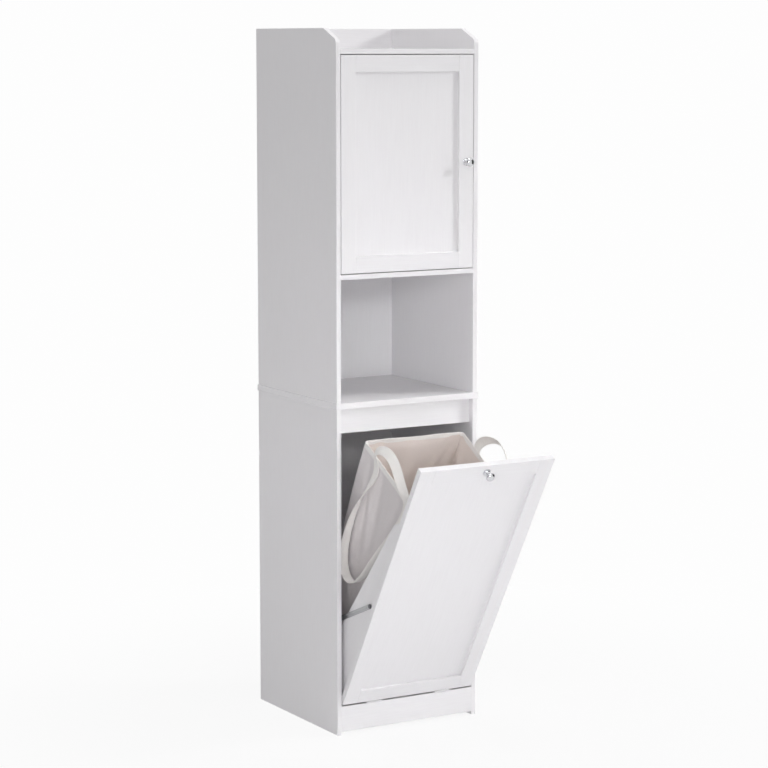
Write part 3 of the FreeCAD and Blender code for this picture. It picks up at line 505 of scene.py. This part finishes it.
STRAP_POINTS, STRAP_SECTION = 420, 24
SPLINE_STEPS = 4000       # for measuring the course's length
STRAP_LEAN = 0.11         # outwards for each millimetre above the rim
STRAP_SWAY = 0.5
STRAP_PRESS = 0.7         # closer to the bag where it lies flat
STRAP_CUP = 0.25
STRAP_SEAM = 2.4          # stitches from the edge
STITCH_SINK = 0.97        # share of the half thickness

# The strap's course as (share from front to back, share of the rise or drop, turn out of its edge-on place in
# degrees): at 90 it lies flat on the bag's side, where it is sewn
STRAP_SHARES = np.array([
    (0.97, 0.10, 74), (0.80, 0.78, 50), (0.56, 1.0, 48), (0.35, 0.80, 50), (0.18, 0.42, 55), (0.04, 0.05, 76),
    (0.0, -0.18, 87), (0.11, -0.48, 50), (0.23, -0.69, 16), (0.37, -0.885, 3), (0.58, -1.0, 0), (0.79, -0.98, 0),
    (0.93, -0.875, 1), (1.0, -0.69, 8), (0.98, -0.445, 27), (0.90, -0.225, 62), (0.89, -0.08, 88),
])
STRAP_COURSE = np.stack([
    STRAP_FRONT + STRAP_SHARES[:, 0] * (STRAP_BACK - STRAP_FRONT),
    BAG_RIM + STRAP_SHARES[:, 1] * np.where(STRAP_SHARES[:, 1] > 0, STRAP_RISE, STRAP_DROP),
    np.radians(STRAP_SHARES[:, 2]),
], -1)


def closed_spline(knots, count):
    """A smooth closed curve through points in a plane: a periodic cubic over the chord lengths, evenly sampled.

    The first two columns are the place; any further column is carried along in the same way.
    """
    size = len(knots)
    step = np.linalg.norm((np.roll(knots, -1, 0) - knots)[:, :2], axis=1)
    slope = (np.roll(knots, -1, 0) - knots) / step[:, None]
    system = np.zeros((size, size))
    index = np.arange(size)
    before = np.roll(step, 1)
    system[index, index] = 2 * (before + step)
    system[index, (index - 1) % size] += before
    system[index, (index + 1) % size] += step
    bend = np.linalg.solve(system, 6 * (slope - np.roll(slope, 1, 0)))
    knot_at = np.concatenate([[0], np.cumsum(step)])

    def at(way):
        k = np.clip(np.searchsorted(knot_at, way, side="right") - 1, 0, size - 1)
        n = (k + 1) % size
        h, a = step[k][:, None], (way - knot_at[k])[:, None]
        b = h - a
        return ((bend[k] * b**3 + bend[n] * a**3) / (6 * h)
                + (knots[k] / h - bend[k] * h / 6) * b + (knots[n] / h - bend[n] * h / 6) * a)

    fine = np.linspace(0, knot_at[-1], SPLINE_STEPS)
    run = np.concatenate([[0], np.cumsum(np.linalg.norm(np.diff(at(fine)[:, :2], axis=0), axis=1))])
    even = np.interp(np.arange(count) / count * run[-1], run, fine)
    return at(even), run[-1]


def strap_frame(count):
    """Evenly spaced places along a strap, counted outwards from the bag's side, with its ahead, across and out axes.

    The band stands on edge where its turn is 0 and is turned about its own course towards the bag's side elsewhere;
    its middle stays half the turned width away from the side. Above the rim it leans outwards.
    """
    line, length = closed_spline(STRAP_COURSE, count)
    ahead = np.roll(line[:, :2], -1, 0) - np.roll(line[:, :2], 1, 0)
    ahead /= np.linalg.norm(ahead, axis=1)[:, None]
    cos, sin = np.cos(line[:, 2]), np.clip(np.sin(line[:, 2]), 0, 1)
    way = np.arange(count) / count
    sway = STRAP_SWAY * cos * (1 + np.sin(FULL_TURN * 2 * way + 2.1))
    lean = STRAP_LEAN * np.clip(line[:, 1] - BAG_RIM, 0, None)
    half = STRAP_WIDTH / 2 * cos + STRAP_THICK / 2 * sin
    middle = np.stack([STRAP_NEAR - STRAP_PRESS * sin + half + sway + lean, line[:, 0], line[:, 1]], -1)
    across = np.stack([cos, -sin * ahead[:, 1], sin * ahead[:, 0]], -1)
    out = np.stack([sin, cos * ahead[:, 1], -cos * ahead[:, 0]], -1)
    return middle, np.stack([0 * cos, ahead[:, 0], ahead[:, 1]], -1), across, out, way, length


def make_strap(name, node, sign):
    """A flat webbing band: a thin rounded section carried round the closed course, a little cupped here and there.

    A row of stitches runs along each edge, on both faces.
    """
    middle, _, across, out, way, length = strap_frame(STRAP_POINTS)
    turn = np.arange(STRAP_SECTION) / STRAP_SECTION * FULL_TURN
    thick = STRAP_THICK / 2 * flattened(np.sin(turn), 0.4)
    wide = STRAP_WIDTH / 2 * flattened(np.cos(turn), 0.25)
    hollow = 1 - (wide / (STRAP_WIDTH / 2)) ** 2
    cup = STRAP_CUP * (1 + np.sin(FULL_TURN * 3 * way + 0.7))[:, None] * hollow[None, :]
    reach = thick[None, :] - across[:, :1] * cup
    local = middle[:, None] + across[:, None] * wide[None, :, None] + out[:, None] * reach[..., None]
    points = tilted_out(sign * local[..., 0], local[..., 1], local[..., 2])
    uv = np.stack(np.broadcast_arrays(way[:, None] * length * MM, wide[None, :] * MM), -1)
    quads = grid_quads(STRAP_POINTS, STRAP_SECTION, True, True)
    band = piece(name, points, quads, [WEBBING], "hamper", uv)
    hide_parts(node)
    middle, ahead, across, out, _, _ = strap_frame(round(length / STRAP_STITCH_PITCH))
    edge = across * (STRAP_WIDTH / 2 - STRAP_SEAM)
    face = out * (STRAP_THICK / 2 * STITCH_SINK)
    rows = [middle + a * edge + b * face for a in (-1, 1) for b in (-1, 1)]
    sew(name + "_stitches", np.vstack(rows), np.tile(ahead, (4, 1)), np.tile(out, (4, 1)), sign)


# The knobs

KNOB_SPOKES = 64
KNOB_STEPS = 4            # rings from one place of the profile to the next
KNOB_OUT = np.array([0, 1.2, 2.0, 2.3, 2.6, 4.5, 7.0, 9.5, 11.5, 13.0, 14.2, 16.2, 18.0, 18.9, 19.8, 21.2, 22.6,
                     23.8, 24.8, 25.5, 25.9, 26.0])
KNOB_RADIUS = np.array([9.5, 9.5, 9.3, 8.9, 7.6, 5.6, 4.7, 4.6, 5.4, 6.8, 8.6, 10.3, 10.95, 11.0, 10.9, 10.2, 8.9,
                        7.3, 5.3, 3.2, 1.2, 0.02])


def make_knob(name, node, body, place, tilt):
    """A turned knob: flange, waisted neck and domed head as one profile swept round its axis, facing the front."""
    knots = np.arange(len(KNOB_OUT))
    fine = np.linspace(0, knots[-1], KNOB_STEPS * knots[-1] + 1)
    out, wide = np.interp(fine, knots, KNOB_OUT), np.interp(fine, knots, KNOB_RADIUS)
    turn = np.arange(KNOB_SPOKES) / KNOB_SPOKES * FULL_TURN
    x = place[0] + wide[:, None] * np.cos(turn)
    high = place[1] + wide[:, None] * np.sin(turn)
    deep = -out[:, None] + 0 * x
    if tilt:
        points = tilted_out(x, deep, high)
    else:
        points = np.stack([x, deep + DEPTH_SHIFT, high], -1) * MM
    quads = grid_quads(len(out), KNOB_SPOKES, False, True)
    ends = [list(range(KNOB_SPOKES)), list(range((len(out) - 1) * KNOB_SPOKES, len(out) * KNOB_SPOKES))]
    knob = piece(name, points, quads + ends, [CHROME], body)
    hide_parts(node)


# Stage, light and camera

CARD = (-1, -1), (1, -1), (1, 1), (-1, 1)
NEAR_WHITE = (0.985, 0.985, 0.985, 1.0)
FLOOR_REACH = 40.0
FLOOR_DROP = 0.0006       # below the feet
SHADOW_NEAR, SHADOW_FAR = 0.4, 1.6    # in metres from the middle
GLOW_NEAR = 0.92          # share of white near the feet; the rest is the floor's own shade, with the shadow
SURROUND = 0.285          # strength of the even light

FOCAL_PIXELS, PICTURE_PIXELS, SENSOR = 2497.134, 768, 36.0
CAMERA_PLACE = (-3.09589, -5.13826, 1.66153)
CAMERA_DIP, CAMERA_TURN = 0.13518, -0.53376


def sheet(name, corners, material):
    """A flat four-cornered card of the stage."""
    mesh = bpy.data.meshes.new(name)
    mesh.from_pydata(corners, [], [(0, 1, 2, 3)])
    card = bpy.data.objects.new(name, mesh)
    bpy.context.collection.objects.link(card)
    mesh.materials.append(material)
    return card


def seen(tree):
    """A product that is its second factor for rays from the camera and mirrored or passed ones, and 0 for light."""
    path = add(tree, "ShaderNodeLightPath")
    either = add(tree, "ShaderNodeMath", operation="MAXIMUM")
    any_of = add(tree, "ShaderNodeMath", operation="MAXIMUM")
    part = add(tree, "ShaderNodeMath", operation="MULTIPLY")
    tree.links.new(path.outputs["Is Camera Ray"], either.inputs[0])
    tree.links.new(path.outputs["Is Glossy Ray"], either.inputs[1])
    tree.links.new(either.outputs["Value"], any_of.inputs[0])
    tree.links.new(path.outputs["Is Transmission Ray"], any_of.inputs[1])
    tree.links.new(any_of.outputs["Value"], part.inputs[0])
    part.inputs[1].default_value = 1.0
    return part


def make_floor():
    """A pale floor that shows near-white to the camera and keeps a soft shadow near the feet."""
    material, tree, shader = finish("pale_floor", (0.86, 0.86, 0.865), 0.8)
    glow = add(tree, "ShaderNodeEmission", Color=NEAR_WHITE, Strength=1.0)
    mix = add(tree, "ShaderNodeMixShader")
    away = add(tree, "ShaderNodeVectorMath", operation="LENGTH")
    fade = add(tree, "ShaderNodeMapRange", interpolation_type="SMOOTHSTEP")
    fade.inputs["From Min"].default_value = SHADOW_NEAR
    fade.inputs["From Max"].default_value = SHADOW_FAR
    fade.inputs["To Min"].default_value = GLOW_NEAR
    fade.inputs["To Max"].default_value = 1.0
    tree.links.new(on_object(tree), away.inputs[0])
    tree.links.new(away.outputs["Value"], fade.inputs["Value"])
    part = seen(tree)
    tree.links.new(fade.outputs["Result"], part.inputs[1])
    tree.links.new(part.outputs["Value"], mix.inputs["Fac"])
    tree.links.new(shader.outputs["BSDF"], mix.inputs[1])
    tree.links.new(glow.outputs["Emission"], mix.inputs[2])
    tree.links.new(mix.outputs["Shader"], tree.nodes["Material Output"].inputs["Surface"])
    corners = [(a * FLOOR_REACH, b * FLOOR_REACH, 0) for a, b in CARD]
    floor = sheet("floor", corners, material)
    floor.location.z = -FLOOR_DROP


def make_surround():
    """An even soft light from all round, which shows near-white to the camera."""
    world = bpy.data.worlds.new("surround")
    bpy.context.scene.world = world
    world.use_nodes = True
    tree = world.node_tree
    soft = tree.nodes["Background"]
    soft.inputs["Color"].default_value = (1.0, 0.985, 1.0, 1.0)
    soft.inputs["Strength"].default_value = SURROUND
    white = add(tree, "ShaderNodeBackground", Color=NEAR_WHITE, Strength=1.0)
    mix = add(tree, "ShaderNodeMixShader")
    tree.links.new(seen(tree).outputs["Value"], mix.inputs["Fac"])
    tree.links.new(soft.outputs["Background"], mix.inputs[1])
    tree.links.new(white.outputs["Background"], mix.inputs[2])
    tree.links.new(mix.outputs["Shader"], tree.nodes["World Output"].inputs["Surface"])


def softbox(name, place, target, size, watts, spread=180):
    """A rectangular lamp turned to a target; a narrower spread, in degrees, is a grid on its front."""
    lamp = bpy.data.lights.new(name, "AREA")
    lamp.spread = math.radians(spread)
    lamp.shape = "RECTANGLE"
    lamp.size, lamp.size_y = size
    lamp.energy = watts
    holder = bpy.data.objects.new(name, lamp)
    bpy.context.collection.objects.link(holder)
    holder.location = place
    holder.rotation_euler = (Vector(target) - Vector(place)).to_track_quat("-Z", "Y").to_euler()


def dark_flag(name, place, target, size):
    """A dark card that only mirrored rays see, so that polished metal has something to reflect."""
    face = (Vector(target) - Vector(place)).normalized()
    side = face.cross(Vector((0, 0, 1))).normalized()
    rise = side.cross(face)
    corners = [tuple(Vector(place) + side * a * size[0] / 2 + rise * b * size[1] / 2) for a, b in CARD]
    card = sheet(name, corners, finish(name, (0.02, 0.02, 0.02), 0.9)[0])
    card.visible_camera = card.visible_diffuse = card.visible_shadow = card.visible_transmission = False


def make_camera():
    """A long lens a little above the cabinet, turned to its left front corner and tipped down to its middle."""
    data = bpy.data.cameras.new("camera")
    data.sensor_width = SENSOR
    data.lens = FOCAL_PIXELS * SENSOR / PICTURE_PIXELS
    data.clip_end = 100.0
    camera = bpy.data.objects.new("camera", data)
    bpy.context.collection.objects.link(camera)
    camera.location = CAMERA_PLACE
    camera.rotation_euler = (math.pi / 2 - CAMERA_DIP, 0.0, CAMERA_TURN)
    bpy.context.scene.camera = camera


dress_solids()
make_bag()
make_hem()
make_strap("strap_left", "left_strap", -1)
make_strap("strap_right", "right_strap", 1)
make_knob("knob_upper", "door_knob", "upper_door", (164.0, 1379.5), False)
make_knob("knob_bin", "hamper_knob", "hamper", (0.0, 776.0), True)
make_floor()
make_surround()
softbox("key_right", (6.0, -2.8, 4.3), (0.0, 0.0, 1.5), (1.4, 1.4), 224)
softbox("low_right", (6.0, -2.8, 0.9), (0.0, -0.2, 0.4), (1.2, 1.2), 2.6, 24)
softbox("overhead", (-0.3, -0.5, 5.2), (0.0, 0.0, 0.8), (1.6, 1.6), 60)
softbox("fill_left", (-5.0, -6.0, 1.4), (0.0, 0.0, 0.6), (4.0, 3.0), 122)
softbox("fill_niche", (-2.3, -5.9, 2.6), (0.0, 0.1, 0.86), (0.8, 0.8), 0.42, 12)
softbox("fill_low", (-2.0, -6.6, 0.5), (-0.1, -0.1, 0.45), (0.8, 0.8), 0.30, 12)
dark_flag("flag_left", (-2.6, -0.9, 1.2), (0, -0.2, 1.0), (2.6, 4.0))
dark_flag("flag_right", (2.2, -1.3, 1.0), (0, -0.2, 1.0), (2.6, 4.0))
make_camera()
bpy.context.scene.view_settings.view_transform = "Standard"
